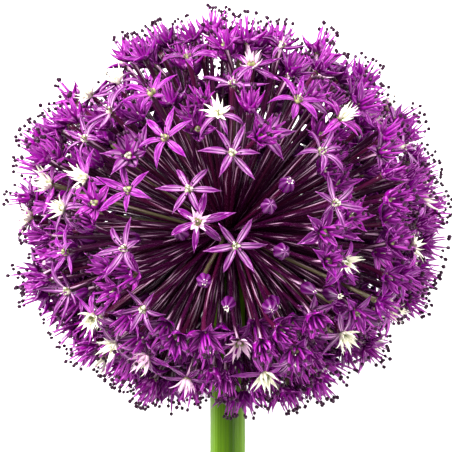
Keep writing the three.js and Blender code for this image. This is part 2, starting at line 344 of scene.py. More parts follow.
def head_to_world():
    """The matrix from the head's frame, in millimetres, to the row frame, in metres."""
    low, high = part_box(SCAPE_NODE)
    along = STALK_LENGTH * math.cos(STALK_TILT) + STALK_CUT_RADIUS * math.sin(STALK_TILT)
    origin = Vector(((low.x + high.x) / 2, low.y + along * MM, RECEPTACLE_HEIGHT * MM))
    turn = Matrix.Rotation(STALK_TILT - math.pi / 2, 4, "X")
    return Matrix.Translation(origin) @ turn @ Matrix.Scale(MM, 4)


def envelope(way):
    """The distance from the receptacle to the head's ellipsoid along a direction."""
    a = (way[0] ** 2 + way[1] ** 2) / HEAD_RADIUS**2 + way[2] ** 2 / HEAD_HALF_HEIGHT**2
    b = -2 * way[2] * HEAD_OFFSET / HEAD_HALF_HEIGHT**2
    c = (HEAD_OFFSET / HEAD_HALF_HEIGHT) ** 2 - 1
    return (-b + math.sqrt(b * b - 4 * a * c)) / (2 * a)


def spiral(count, span):
    """Directions spread evenly from +Z down to a polar angle."""
    depth = 1 - math.cos(math.radians(span))
    for i in range(count):
        yield i * GOLDEN_ANGLE % 360, math.degrees(math.acos(1 - depth * (i + 0.5) / count))


def kind_for(draw):
    total = 0
    for name, (share, *_) in KINDS.items():
        total += share
        if draw < total:
            return name
    return "open"


def make_floret(kind, way, drawn):
    _, reach, recess, lean = KINDS[kind]
    facing = way + lean * (np.array(drawn[4:7]) - 0.5)
    facing /= np.linalg.norm(facing)
    length = envelope(way) - reach - recess[0] - (recess[1] - recess[0]) * drawn[3] ** 2
    if climb(way) < 0:
        length = min(length, (RECEPTACLE_HEIGHT + reach * climb(facing)) / -climb(way))
    turn = 2 * math.pi * drawn[7]
    return {"kind": kind, "way": way, "facing": facing, "seat": way * length, "turn": turn}


def make_florets():
    """Every floret's kind, place and facing, as the frame's clusters have them."""
    seed = RANDOM_SEED

    def draws():
        nonlocal seed
        drawn = []
        for _ in range(DRAWS_PER_FLORET):
            seed = seed * RANDOM_FACTOR % RANDOM_MODULUS
            drawn.append(seed / RANDOM_MODULUS)
        return drawn

    florets = []
    for kind, angles in FEATURED.items():
        for azimuth, polar, *turn in angles:
            floret = make_floret(kind, direction(azimuth, polar), draws())
            if turn:
                floret["turn"] = math.radians(turn[0])
            florets.append(floret)
    featured = [floret["way"] for floret in florets]
    front = np.array((0, -1, 0))
    for azimuth, polar in spiral(SPIRAL_COUNT, HEAD_SPAN):
        drawn = draws()
        azimuth += SCATTER * (drawn[0] - 0.5) / math.sin(math.radians(polar))
        polar = min(polar + SCATTER * (drawn[1] - 0.5), HEAD_SPAN)
        way = direction(azimuth, polar)
        if angle_between(way, front) < WINDOW:
            continue
        if all(angle_between(way, other) > FEATURED_SPACING for other in featured):
            florets.append(make_floret(kind_for(drawn[2]), way, drawn))
    return florets


def foot_of(way, distance):
    """Where a pedicel leaves the receptacle: low ones are drawn up above the stalk."""
    raised = math.acos(way[2]) * FOOT_SPAN / HEAD_SPAN
    flat = np.array((way[0], way[1], 0))
    flat *= math.sin(raised) / np.linalg.norm(flat)
    flat[2] = math.cos(raised)
    return flat * distance


# ---------------------------------------------------------------- meshes


def marked(name, points, faces, pattern, chart, parts):
    """A smooth mesh with its two UV maps and each face's part number."""
    mesh = bpy.data.meshes.new(name)
    mesh.from_pydata(points, [], faces)
    for layer, places in (("Pattern", pattern), ("OFBake", chart)):
        flat = [number for place in places for number in place]
        mesh.uv_layers.new(name=layer).data.foreach_set("uv", flat)
    mesh.attributes.new("part", "INT", "FACE").data.foreach_set("value", parts)
    mesh.polygons.foreach_set("use_smooth", [True] * len(faces))
    mesh.update()
    return mesh


def lofted(part, rings):
    """A closed mesh through rings of points, the first and last being one point each.

    Its map Pattern holds how far round and how far along each corner is, and OFBake the same
    within the part's row and first column of the chart that all parts and tints share.
    """
    points = [point for ring in rings for point in ring]
    starts = np.cumsum([0] + [len(ring) for ring in rings])
    sides = len(rings[1])
    last = len(rings) - 1
    faces, pattern = [], []
    for i in range(last):
        low, high = i / last, (i + 1) / last
        for k in range(sides):
            after = (k + 1) % sides
            here, there = k / sides, (k + 1) / sides
            middle = (here + there) / 2
            if i == 0:
                faces.append((starts[0], starts[1] + after, starts[1] + k))
                pattern += [(middle, low), (there, high), (here, high)]
            elif i == last - 1:
                faces.append((starts[i] + k, starts[i] + after, starts[last]))
                pattern += [(here, low), (there, low), (middle, high)]
            else:
                here_up, there_up = starts[i + 1] + k, starts[i + 1] + after
                faces.append((starts[i] + k, starts[i] + after, there_up, here_up))
                pattern += [(here, low), (there, low), (there, high), (here, high)]
    row = list(PARTS).index(part)
    inner = 1 - 2 * CHART_MARGIN
    chart = [
        ((CHART_MARGIN + inner * u) / TINTS, (row + CHART_MARGIN + inner * v) / len(PARTS))
        for u, v in pattern
    ]
    return marked(part, points, faces, pattern, chart, [row] * len(faces))


def merged(meshes):
    """Several meshes as one, which keeps each one's UV maps and part numbers."""
    points, faces, pattern, chart, parts = [], [], [], [], []
    for mesh in meshes:
        start = len(points)
        points += [vertex.co[:] for vertex in mesh.vertices]
        faces += [[start + i for i in polygon.vertices] for polygon in mesh.polygons]
        pattern += [corner.uv[:] for corner in mesh.uv_layers["Pattern"].data]
        chart += [corner.uv[:] for corner in mesh.uv_layers["OFBake"].data]
        parts += [face.value for face in mesh.attributes["part"].data]
    return marked(meshes[0].name, points, faces, pattern, chart, parts)


# ---------------------------------------------------------------- node trees


def add(tree, kind, *values, named=None, stops=(), steps=(), output=0, **settings):
    """Adds a node with its settings and inputs, and returns one of its outputs, or itself.

    values are its first inputs in order and named the others, by name or number. A value that is
    a socket is linked. A ramp blends between its stops, each a place with a colour or grey level,
    and doesn't blend between its steps, each a colour or grey level.
    """
    node = tree.nodes.new(kind)
    for name, value in settings.items():
        setattr(node, name, value)
    if steps:
        node.color_ramp.interpolation = "CONSTANT"
        stops = [(i / len(steps), step) for i, step in enumerate(steps)]
    while stops and len(node.color_ramp.elements) < len(stops):
        node.color_ramp.elements.new(1.0)
    for i, (place, colour) in enumerate(stops):
        element = node.color_ramp.elements[i]
        element.position = place
        element.color = (colour, colour, colour, 1) if isinstance(colour, (int, float)) else colour
    for key, value in [*enumerate(values), *(named or {}).items()]:
        socket = node.inputs[key]
        if isinstance(value, bpy.types.NodeSocket):
            tree.links.new(value, socket)
        else:
            socket.default_value = value
    return node if output is None else node.outputs[output]


def new_tree(name, inputs):
    """A geometry node tree with named inputs, each of a kind, and those inputs' sockets."""
    tree = bpy.data.node_groups.new(name, "GeometryNodeTree")
    for label, kind in {"Geometry": "Geometry", **inputs}.items():
        tree.interface.new_socket(label, in_out="INPUT", socket_type=f"NodeSocket{kind}")
    tree.interface.new_socket("Geometry", in_out="OUTPUT", socket_type="NodeSocketGeometry")
    return tree, tree.nodes.new("NodeGroupInput").outputs


def picked(tree, points, organs, seed, rotation, scale):
    """One of a collection's organs on each point, picked at random."""
    organs = add(tree, "GeometryNodeCollectionInfo", organs, True, True)
    span = {4: 0, 5: HIGHEST_PICK, "ID": add(tree, "GeometryNodeInputIndex"), "Seed": seed}
    pick = add(tree, RANDOM, named=span, output=2, data_type="INT")
    values = (points, True, organs, True, pick, rotation, scale)
    return add(tree, "GeometryNodeInstanceOnPoints", *values)


# The whorls of a floret, and the inputs that each has with their kinds.
WHORLS = ("Outer", "Inner", "Frill")
WHORL_INPUTS = {
    "Organs": "Collection",
    "Count": "Int",
    "Radius": "Float",
    "Height": "Float",
    "Pitch": "Float",
    "Pitch Spread": "Float",
    "Turn": "Float",
    "Turn Spread": "Float",
    "Size Spread": "Float",
}


def organ_whorl_tree():
    """Organs in a ring round each floret's middle, each turned and pitched a little differently."""
    tree, given = new_tree("Organ Whorl", {**WHORL_INPUTS, "Size": "Float", "Seed": "Int"})
    index = add(tree, "GeometryNodeInputIndex")
    values = (given["Geometry"], True, given["Count"])
    copies = add(tree, "GeometryNodeDuplicateElements", *values, output=None, domain="POINT")

    def seed_for(stream):
        return add(tree, MATH, given["Seed"], stream, operation="ADD")

    def varied(value, amount, stream):
        low = add(tree, MATH, amount, -1.0, operation="MULTIPLY")
        span = {2: low, 3: amount, "ID": index, "Seed": seed_for(stream)}
        drift = add(tree, RANDOM, named=span, output=1, data_type="FLOAT")
        return add(tree, MATH, value, drift, operation="ADD")

    share = add(tree, MATH, copies.outputs[1], given["Count"], operation="DIVIDE")
    around = add(tree, MATH, share, math.tau, given["Turn"], operation="MULTIPLY_ADD")
    around = varied(around, given["Turn Spread"], 1.0)
    pitch = varied(given["Pitch"], given["Pitch Spread"], 2.0)
    pitch = add(tree, MATH, pitch, -1.0, operation="MULTIPLY")
    facing = add(tree, READ, "facing", data_type="QUATERNION")
    about_z = add(tree, "FunctionNodeAxisAngleToRotation", (0, 0, 1), around)
    about_y = add(tree, "FunctionNodeAxisAngleToRotation", (0, 1, 0), pitch)
    ring = add(tree, "FunctionNodeRotateRotation", facing, about_z, rotation_space="LOCAL")
    final = add(tree, "FunctionNodeRotateRotation", ring, about_y, rotation_space="LOCAL")
    arm = add(tree, COMBINE, given["Radius"], 0.0, given["Height"])
    arm = add(tree, "FunctionNodeRotateVector", arm, ring)
    placed = add(tree, SET_POSITION, copies.outputs[0], named={"Offset": arm})
    size = varied(1.0, given["Size Spread"], 4.0)
    size = add(tree, MATH, size, given["Size"], operation="MULTIPLY")
    made = picked(tree, placed, given["Organs"], seed_for(3.0), final, size)
    add(tree, "NodeGroupOutput", made, output=None)
    return tree


def floret_tree(colours, sizes):
    """Whole florets on their seats: three whorls of organs round a heart."""
    inputs = {"Heart": "Collection", "Rest Height": "Float", "Seed": "Int"}
    for whorl in WHORLS:
        inputs.update({f"{whorl} {label}": kind for label, kind in WHORL_INPUTS.items()})
    tree, given = new_tree("Floret", inputs)
    shape = organ_whorl_tree()
    seats = add(tree, "GeometryNodeMeshToPoints", given["Geometry"])
    join = add(tree, "GeometryNodeJoinGeometry", output=None)
    for i, whorl in enumerate(WHORLS):
        size = add(tree, READ, f"{whorl.lower()}_size", data_type="FLOAT")
        pitch = add(tree, READ, f"{whorl.lower()}_pitch", data_type="FLOAT")
        wires = {label: given[f"{whorl} {label}"] for label in WHORL_INPUTS}
        wires["Radius"] = add(tree, MATH, wires["Radius"], size, operation="MULTIPLY")
        wires["Height"] = add(tree, MATH, wires["Height"], size, operation="MULTIPLY")
        wires["Pitch"] = add(tree, MATH, wires["Pitch"], pitch, operation="ADD")
        wires["Seed"] = add(tree, MATH, given["Seed"], 10.0 * i, operation="ADD")
        wires.update({"Geometry": seats, "Size": size})
        made = add(tree, "GeometryNodeGroup", named=wires, node_tree=shape)
        tree.links.new(made, join.inputs[0])
    facing = add(tree, READ, "facing", data_type="QUATERNION")
    size = add(tree, READ, "heart_size", data_type="FLOAT")
    hearts = picked(tree, seats, given["Heart"], given["Seed"], facing, size)
    tree.links.new(hearts, join.inputs[0])
    whole = add(tree, "GeometryNodeRealizeInstances", join.outputs[0])
    place = add(tree, "GeometryNodeInputPosition")
    x, y, z = add(tree, SEPARATE, place, output=None).outputs
    lifted = add(tree, MATH, z, given["Rest Height"], operation="MAXIMUM")
    rested = add(tree, COMBINE, x, y, lifted)
    whole = add(tree, SET_POSITION, whole, True, rested)
    whole = in_tint_column(tree, whole)
    part = add(tree, READ, "part", data_type="INT")
    for number, make_material in enumerate(PARTS.values()):
        pair = {2: part, 3: number}
        chosen = add(tree, "FunctionNodeCompare", named=pair, data_type="INT", operation="EQUAL")
        whole = add(tree, SET_MATERIAL, whole, chosen, make_material(colours, sizes))
    add(tree, "NodeGroupOutput", whole, output=None)
    return tree


def in_tint_column(tree, geometry):
    """Moves each face's place in the shared chart to its own tint's column."""
    chart = add(tree, READ, "OFBake", data_type="FLOAT_VECTOR")
    tint = add(tree, READ, "tint", data_type="FLOAT")
    across = add(tree, MATH, tint, float(TINTS), operation="DIVIDE")
    column = add(tree, COMBINE, across)
    moved = add(tree, VECTOR_MATH, chart, column, operation="ADD")
    values = (geometry, True, "OFBake", moved)
    return add(tree, STORE, *values, data_type="FLOAT2", domain="CORNER")


def stem_tree():
    """Stems swept along paths, ridged lengthwise if they are given ridges."""
    inputs = {"Sides": "Int", "Ridges": "Int", "Ridge Depth": "Float", "Material": "Material"}
    tree, given = new_tree("Stem", inputs)
    paths = add(tree, "GeometryNodeMeshToCurve", given["Geometry"])
    radius = add(tree, READ, "radius", data_type="FLOAT")
    paths = add(tree, "GeometryNodeSetCurveRadius", paths, True, radius)
    size = {"Resolution": given["Sides"], "Radius": 1.0}
    outline = add(tree, "GeometryNodeCurvePrimitiveCircle", named=size, mode="RADIUS")
    factor = add(tree, "GeometryNodeSplineParameter")
    values = (outline, True, "around", factor)
    outline = add(tree, STORE, *values, data_type="FLOAT", domain="POINT")
    waves = add(tree, MATH, factor, given["Ridges"], operation="MULTIPLY")
    waves = add(tree, MATH, waves, math.tau, operation="MULTIPLY")
    waves = add(tree, MATH, waves, operation="COSINE")
    swell = add(tree, MATH, waves, given["Ridge Depth"], 1.0, operation="MULTIPLY_ADD")
    place = add(tree, "GeometryNodeInputPosition")
    ridged = add(tree, VECTOR_MATH, place, named={"Scale": swell}, operation="SCALE")
    outline = add(tree, SET_POSITION, outline, True, ridged)
    swept = add(tree, "GeometryNodeCurveToMesh", paths, outline, radius, True)
    around = add(tree, READ, "around", data_type="FLOAT")
    along = add(tree, READ, "along", data_type="FLOAT")
    mean = add(tree, "GeometryNodeFieldOnDomain", around, data_type="FLOAT", domain="FACE")
    # A corner on the far side of the seam, where around starts again at 0, is moved up to 1.
    behind = add(tree, MATH, mean, around, operation="SUBTRACT")
    behind = add(tree, MATH, behind, SEAM_STEP, operation="GREATER_THAN")
    unrolled = add(tree, MATH, around, behind, operation="ADD")
    flat = add(tree, COMBINE, unrolled, along)
    values = (swept, True, "Pattern", flat)
    whole = add(tree, STORE, *values, data_type="FLOAT2", domain="CORNER")
    scale = ((1 - 2 * CHART_MARGIN) / TINTS, 1 - CHART_MARGIN, 0)
    start = (CHART_MARGIN / TINTS, CHART_MARGIN / 2, 0)
    inset = add(tree, VECTOR_MATH, flat, scale, start, operation="MULTIPLY_ADD")
    values = (whole, True, "OFBake", inset)
    whole = add(tree, STORE, *values, data_type="FLOAT2", domain="CORNER")
    whole = in_tint_column(tree, whole)
    whole = add(tree, "GeometryNodeRealizeInstances", whole)
    whole = add(tree, SET_MATERIAL, whole, True, given["Material"])
    add(tree, "NodeGroupOutput", whole, output=None)
    return tree


def run_tree(name, mesh, tree, inputs):
    """The plain mesh object that a tree makes of a mesh."""
    piece = bpy.data.objects.new(name, mesh)
    bpy.context.scene.collection.objects.link(piece)
    modifier = piece.modifiers.new("Shape", "NODES")
    modifier.node_group = tree
    for item in tree.interface.items_tree:
        if item.in_out == "INPUT" and item.name in inputs:
            modifier[item.identifier] = inputs[item.name]
    graph = bpy.context.evaluated_depsgraph_get()
    made = bpy.data.meshes.new_from_object(
        piece.evaluated_get(graph), preserve_all_data_layers=True, depsgraph=graph
    )
    piece.modifiers.clear()
    piece.data = made
    made.name = name
    return piece


# ---------------------------------------------------------------- materials


def new_material(name, specular):
    """A material with its node tree, whose shader has that specular level."""
    material = bpy.data.materials.new(name)
    material.use_nodes = True
    shader = material.node_tree.nodes["Principled BSDF"]
    shader.inputs["Specular IOR Level"].default_value = specular
    return material, material.node_tree


def own_places(tree):
    """How far round its organ and along it a spot is, and its floret's tint, each from 0 to 1."""
    place = add(tree, "ShaderNodeUVMap", uv_map="Pattern")
    u, v, _ = add(tree, SEPARATE, place, output=None).outputs
    tint = add(tree, "ShaderNodeAttribute", output=2, attribute_name="tint")
    return u, v, add(tree, MATH, tint, 1 / TINTS, 0.5 / TINTS, operation="MULTIPLY_ADD")


def grain(tree, places, size, cell, detail=3.0):
    """Noise drawn out along an organ, whose own cut through it each tint has.

    size is the organ's girth and length, in metres, and cell the width and length of the
    noise's cells, in millimetres.
    """
    u, v, tint = places
    across = add(tree, MATH, u, size[0] / (cell[0] * MM), operation="MULTIPLY")
    down = add(tree, MATH, v, size[1] / (cell[1] * MM), operation="MULTIPLY")
    deep = add(tree, MATH, tint, TINT_DEPTH, operation="MULTIPLY")
    place = add(tree, COMBINE, across, down, deep)
    return add(tree, "ShaderNodeTexNoise", place, named={"Scale": 1.0, "Detail": detail})


def crests(tree, u, count):
    """A wave from -1 to 1 with so many crests round an organ."""
    turn = add(tree, MATH, u, count * math.tau, operation="MULTIPLY")
    return add(tree, MATH, turn, operation="COSINE")


def coated(tree, colour, *coats):
    """A colour under coats that are laid over it in turn, each given as its share and colour."""
    for share, coat in coats:
        ends = {0: share, 6: colour, 7: coat}
        colour = add(tree, "ShaderNodeMix", named=ends, output=2, data_type="RGBA")
    return colour


def finished(material, colour, noise, dull, depth, strength=0.5):
    """A material with its colour, and with noise in its roughness and relief.

    dull is its lowest and highest roughness, and depth the relief's, in millimetres.
    """
    tree = material.node_tree
    rough = add(tree, MAP_RANGE, noise, 0.3, 0.7, *dull)
    relief = {"Strength": strength, "Distance": depth * MM, "Height": noise}
    normal = add(tree, "ShaderNodeBump", named=relief)
    shader = tree.nodes["Principled BSDF"].inputs
    for name, value in (("Base Color", colour), ("Roughness", rough), ("Normal", normal)):
        tree.links.new(value, shader[name])
    return material


def tepal_material(colours, sizes):
    """Thin plant skin, fresh: satin, with a dark midrib between two pale bands and fine veins. Its
    pale glints and rims are painted sheen, its pale bands are partly painted highlight, and its
    darker base is painted shade.
    """
    material, tree = new_material("Tepal Skin", 0.14)
    u, v, tint = places = own_places(tree)
    leaf = (2 * sizes.tepal_width, sizes.tepal_length)
    veins = grain(tree, places, leaf, TEPAL_VEINS)
    glints = grain(tree, places, leaf, TEPAL_GLINTS, 1.0)

    def from_midrib(middle, scale):
        off = add(tree, MATH, u, middle, operation="SUBTRACT")
        off = add(tree, MATH, off, operation="ABSOLUTE")
        return add(tree, MATH, off, scale, operation="MULTIPLY")

    # The underside is the first third of the way round. Both run from 0 on the midrib to 1 at
    # the rim.
    under, top = from_midrib(1 / 6, 6.0), from_midrib(2 / 3, 3.0)
    upper = add(tree, MATH, u, 1 / 3, operation="GREATER_THAN")
    edge = add(tree, MATH, top, under, operation="MINIMUM")

    # Some tints have broad pale bands, and the others more painted sheen.
    share = add(tree, RAMP, tint, steps=(0.45, 0.3, 0.75, 0.1))
    rest = add(tree, MATH, 1.0, share, operation="SUBTRACT")
    # The pale bands beside the midrib: partly the tepal's own paler flanks, partly painted highlight.
    across = ((0, 0), (0.1, 0.1), (0.22, 1), (0.48, 0.8), (0.68, 0.1), (1, 0))
    band = add(tree, RAMP, top, stops=across)
    along = add(tree, RAMP, v, stops=((0, 0.5), (0.1, 1), (0.3, 0.9), (0.52, 0.35), (0.72, 0.05)))
    streak = add(tree, MAP_RANGE, veins, 0.35, 0.65, 0.6, 1.1)
    for factor in (along, share, streak):
        band = add(tree, MATH, band, factor, operation="MULTIPLY", use_clamp=True)
    # Painted sheen: pale glints on random spots of each tepal.
    sheen = add(tree, MAP_RANGE, glints, 0.56, 0.62, 0.0, 0.9)
    sheen = add(tree, MATH, sheen, rest, operation="MULTIPLY")
    # Painted highlight along the rims.
    rim = add(tree, RAMP, edge, stops=((0.75, 0), (0.92, 0.2), (1, 0.35)))
    rim = add(tree, MATH, rim, rest, operation="MULTIPLY")
    tip = add(tree, RAMP, v, stops=((0.93, 0), (0.97, 0.5)))
    shade = add(tree, MAP_RANGE, veins, 0.4, 0.65, 0.0, 0.55)
    # Painted shade: darker towards the base, where the tepals close round the heart.
    deep = add(tree, RAMP, v, stops=((0, 0.6), (0.25, 0.3), (0.5, 0.05), (0.75, 0)))
    rib = add(tree, RAMP, top, stops=((0, 0.85), (0.12, 0.7), (0.24, 0)))
    keel = add(tree, RAMP, under, stops=((0, 0.75), (0.3, 0.2), (0.7, 0), (1, 0)))

    full, light, dark = colours.tepal, colours.tepal_light, colours.tepal_dark
    # The sheen colour: painted highlight on glints and rims, and the real pale colour of tips and
    # some bands.
    lighten = colours.tepal_sheen
    pale = add(tree, RAMP, tint, steps=(lighten, lighten, colours.tepal_band, lighten))
    body = add(tree, RAMP, tint, steps=(full, light, dark, dark))
    body = coated(tree, body, (shade, colours.midrib), (deep, colours.midrib), (sheen, pale))
    face = coated(tree, body, (band, pale), (rib, colours.midrib))
    back = coated(tree, body, (keel, colours.midrib))
    skin = coated(tree, back, (upper, face), (rim, lighten), (tip, lighten))
    return finished(material, skin, veins, (0.12, 0.26), 0.08, 0.6)


def filament_material(colours, sizes):
    """Fleshy stamen stems: smooth and satin, dark at the base and lighter towards the tip."""
    material, tree = new_material("Filament Flesh", 0.08)
    _, v, tint = places = own_places(tree)
    stem = (2 * sizes.filament_width, sizes.filament_length)
    fine = grain(tree, places, stem, FILAMENT_GRAIN)
    light = add(tree, MAP_RANGE, fine, 0.45, 0.72, 0.0, 0.7)
    along = add(tree, RAMP, v, stops=((0, 0.1), (0.5, 0.05), (0.75, 0.5), (1, 0.35)))
    tones = (colours.filament, colours.tepal, colours.filament, colours.tepal_dark)
    body = add(tree, RAMP, tint, steps=tones)
    pale = coated(tree, colours.tepal_light, (0.45, colours.tepal_sheen))
    flesh = coated(tree, body, (light, colours.tepal_light), (along, pale))
    return finished(material, flesh, fine, (0.32, 0.48), 0.06)


def anther_material(colours, sizes):
    """Two pollen sacs side by side: dull and nearly black, with a slightly paler slit."""
    material, tree = new_material("Anther Sac", 0.12)
    u, _, _ = places = own_places(tree)
    sac = (math.tau * ANTHER_SHARE * sizes.anther_length, sizes.anther_length)
    fine = grain(tree, places, sac, ANTHER_GRAIN)
    slit = add(tree, MATH, crests(tree, u, 2), 0.93, operation="GREATER_THAN")
    slit = add(tree, MATH, slit, 0.12, operation="MULTIPLY")
    shade = add(tree, MAP_RANGE, fine, 0.4, 0.8, 0.0, 0.3)
    skin = coated(tree, colours.anther, (shade, colours.filament), (slit, colours.tepal_band))
    return finished(material, skin, fine, (0.5, 0.7), 0.05)


def ovary_material(colours, sizes):
    """Fleshy green-cream lobes with a fine pebbled skin and olive grooves between them."""
    material, tree = new_material("Ovary Flesh", 0.45)
    u, v, tint = places = own_places(tree)
    heart = (math.tau * sizes.ovary_radius, 1.4 * sizes.ovary_radius)
    fine = grain(tree, places, heart, OVARY_PEBBLES)
    lobe = add(tree, MAP_RANGE, crests(tree, u, 3), -0.9, 0.3, 0.0, 1.0)
    ends = ((0, 0.9), (0.2, 0.15), (0.4, 0), (0.78, 0), (0.92, 0.9), (1, 1))
    top = add(tree, RAMP, v, stops=ends)
    green, olive = colours.ovary, colours.groove
    flesh = add(tree, RAMP, tint, steps=(green, green, colours.cream, olive))
    flesh = coated(tree, flesh, (fine, coated(tree, green, (0.45, olive))))
    dimple = coated(tree, olive, (0.5, colours.midrib))
    skin = coated(tree, olive, (lobe, flesh), (top, dimple))
    return finished(material, skin, fine, (0.34, 0.5), 0.1)


def frill_material(colours, sizes):
    """Waxy cream lobes: soft sheen, greenish at the base, and pink-white on some florets."""
    material, tree = new_material("Cream Frill", 0.4)
    _, v, tint = places = own_places(tree)
    fine = grain(tree, places, (2 * sizes.lobe_width, sizes.lobe_length), FRILL_GRAIN)
    shade = add(tree, MAP_RANGE, fine, 0.4, 0.7, 0.0, 0.8)
    base = add(tree, RAMP, v, stops=((0, 0.6), (0.3, 0.2), (0.5, 0)))
    tones = (colours.cream, colours.cream, colours.cream, colours.tepal_band)
    cream = add(tree, RAMP, tint, steps=tones)
    yellow = coated(tree, colours.cream, (0.5, colours.ovary))
    skin = coated(tree, cream, (shade, yellow), (base, colours.ovary))
    return finished(material, skin, fine, (0.42, 0.58), 0.08)


def bud_material(colours, sizes):
    """Six closed tepals: satin, each with a pale middle that darkens towards the seams. The pale
    middle is partly the tepal's own colour and partly painted highlight.
    """
    material, tree = new_material("Bud Skin", 0.25)
    u, v, tint = places = own_places(tree)
    veins = grain(tree, places, (math.tau * sizes.bud_radius, sizes.bud_length), BUD_VEINS)
    middle = add(tree, MAP_RANGE, crests(tree, u, 6), -0.9, 0.9, 0.0, 1.0)
    seam = add(tree, RAMP, middle, stops=((0, 0.8), (0.25, 0.1), (0.5, 0)))
    along = add(tree, RAMP, v, stops=((0, 0), (0.35, 0.04), (0.62, 0.1), (0.85, 0.3), (1, 0.2)))
    # The pale stripe up each tepal's middle: partly its own colour, partly painted highlight.
    stripe = add(tree, MATH, middle, 4.0, operation="POWER")
    stripe = add(tree, MATH, stripe, along, operation="MULTIPLY", use_clamp=True)
    shade = add(tree, MAP_RANGE, veins, 0.3, 0.7, 0.25, 0.75)
    tones = (colours.tepal, colours.tepal_dark, colours.tepal, colours.tepal_dark)
    body = add(tree, RAMP, tint, steps=tones)
    coats = ((shade, colours.midrib), (stripe, colours.tepal_band), (seam, colours.midrib))
    return finished(material, coated(tree, body, *coats), veins, (0.18, 0.3), 0.08)


def pedicel_material(colours, sizes):
    """Firm glossy stems: nearly black skin, with broken pale streaks along it that are painted
    highlights.
    """
    material, tree = new_material("Pedicel Skin", 0.28)
    _, _, tint = places = own_places(tree)
    stem = (math.tau * sizes.pedicel_radius, PEDICEL_LENGTH * MM)
    streaks = grain(tree, places, stem, PEDICEL_HIGHLIGHTS, 4.0)
    fine = grain(tree, places, stem, PEDICEL_GRAIN)
    # Painted highlight: broken pale streaks along each stem.
    streak = add(tree, MAP_RANGE, streaks, 0.61, 0.67, 0.0, 0.85)
    speck = add(tree, MAP_RANGE, fine, 0.45, 0.75, 0.0, 0.5)
    tones = (colours.pedicel, colours.pedicel, colours.pedicel_wine, colours.pedicel_green)
    body = add(tree, RAMP, tint, steps=tones)
    skin = coated(tree, body, (streak, colours.pedicel_highlight), (speck, colours.pedicel))
    return finished(material, skin, fine, (0.16, 0.3), 0.05, 0.4)


def stalk_material(colours, sizes):
    """A green scape: smooth and lightly waxed, paler on its ridges, with a pithy cut end. Its darker
    furrows are partly painted shade, and the darker band down one side is painted shade.
    """
    material, tree = new_material("Scape Rind", 0.15)
    u, v, _ = places = own_places(tree)
    stem = (math.tau * STALK_RADIUS * MM, STALK_LENGTH * MM)
    fine = grain(tree, places, stem, STALK_GRAIN)
    broad = grain(tree, places, stem, STALK_TONES)
    # Darker furrows between the ridges: partly the rind's own lines, partly painted shade.
    ridge = add(tree, MAP_RANGE, crests(tree, u, sizes.ridges), -1.0, 1.0, 0.75, 1.0)
    tone = add(tree, MAP_RANGE, broad, 0.4, 0.62, 0.0, 0.65)
    # Painted shade: a darker band down one side of the stalk.
    painted_shade_band = (
        (0.12, 0), (0.2, 0.3), (0.245, 0.65), (0.275, 1), (0.305, 0.9), (0.325, 0.5), (0.37, 0.45),
        (0.42, 0),
    )
    side = add(tree, RAMP, u, stops=painted_shade_band)
    shade = add(tree, MAP_RANGE, fine, 0.45, 0.7, 0.0, 0.45)
    top = add(tree, RAMP, v, stops=((0.9, 0), (0.955, 0.85), (1, 1)))
    cut = add(tree, MATH, v, CUT_SHARE, operation="LESS_THAN")
    rim = add(tree, RAMP, v, stops=((0, 0.1), (CUT_RIM * 0.75, 0.1), (CUT_RIM, 0.8)))
    green, dark = colours.stalk_light, colours.stalk_shade
    pith = coated(tree, colours.ovary, (fine, colours.cream), (rim, green))
    skin = coated(tree, dark, (ridge, colours.stalk), (tone, green), (side, dark), (shade, dark))
    skin = coated(tree, skin, (top, colours.pedicel_wine), (cut, pith))
    return finished(material, skin, fine, (0.32, 0.48), 0.12)


# What each part of a floret is made of, in the order of the chart's rows.
PARTS = {
    "tepal": tepal_material,
    "filament": filament_material,
    "anther": anther_material,
    "ovary": ovary_material,
    "frill": frill_material,
    "bud": bud_material,
}


# ---------------------------------------------------------------- organs


def spine(length, bend, count):
    """Points and slopes along a bent line in the XZ plane, from its start to its tip."""
    x, z = 0.0, 0.0
    for i in range(count + 1):
        angle = math.radians(bend[0] + (bend[1] - bend[0]) * i / count)
        yield x, z, angle
        x += length / count * math.cos(angle)
        z += length / count * math.sin(angle)


def blade(part, length, width, shape, thickness, bend, cup, twist=0.0):
    """A leaf-like organ along +X with its upper face towards +Z.

    shape gives the half-width along it, as shares of half the width; bend is the angle that its
    line starts at and the one it ends at; cup is how far its edges rise.
    """
    places = list(spine(length, bend, len(shape)))
    rings = []
    for i, (share, (x, z, angle)) in enumerate(zip(shape, places)):
        half = width / 2 * share
        rise = cup * half
        thick = thickness * (0.4 + 0.6 * share)
        roll = math.radians(twist) * i / len(shape)
        # Two edges, a keel between them below, and a channel between two ribs above.
        section = (
            (-half, rise),
            (0, -0.7 * thick - 0.15 * half),
            (half, rise),
            (0.52 * half, 0.3 * rise + 0.4 * thick),
            (0, 0.1 * thick),
            (-0.52 * half, 0.3 * rise + 0.4 * thick),
        )
        ring = []
        for across, up in section:
            side = across * math.cos(roll) - up * math.sin(roll)
            out = across * math.sin(roll) + up * math.cos(roll)
            ring.append((x - out * math.sin(angle), side, z + out * math.cos(angle)))
        rings.append(ring)
    first = [tuple(np.mean(rings[0], axis=0))]
    last = [(places[-1][0], 0, places[-1][1])]
    return lofted(part, [first, *rings, last])


def turned(part, profile, sides, lobes=1, depth=0.0):
    """A round organ along +Z through (radius, height) pairs, grooved between its lobes."""
    rings = [[(0, 0, profile[0][1])]]
    for radius, height in profile[1:-1]:
        ring = []
        for k in range(sides):
            around = math.tau * k / sides
            own = radius * (1 - depth * (0.5 - 0.5 * math.cos(lobes * around)))
            ring.append((own * math.cos(around), own * math.sin(around), height))
        rings.append(ring)
    rings.append([(0, 0, profile[-1][1])])
    return lofted(part, rings)


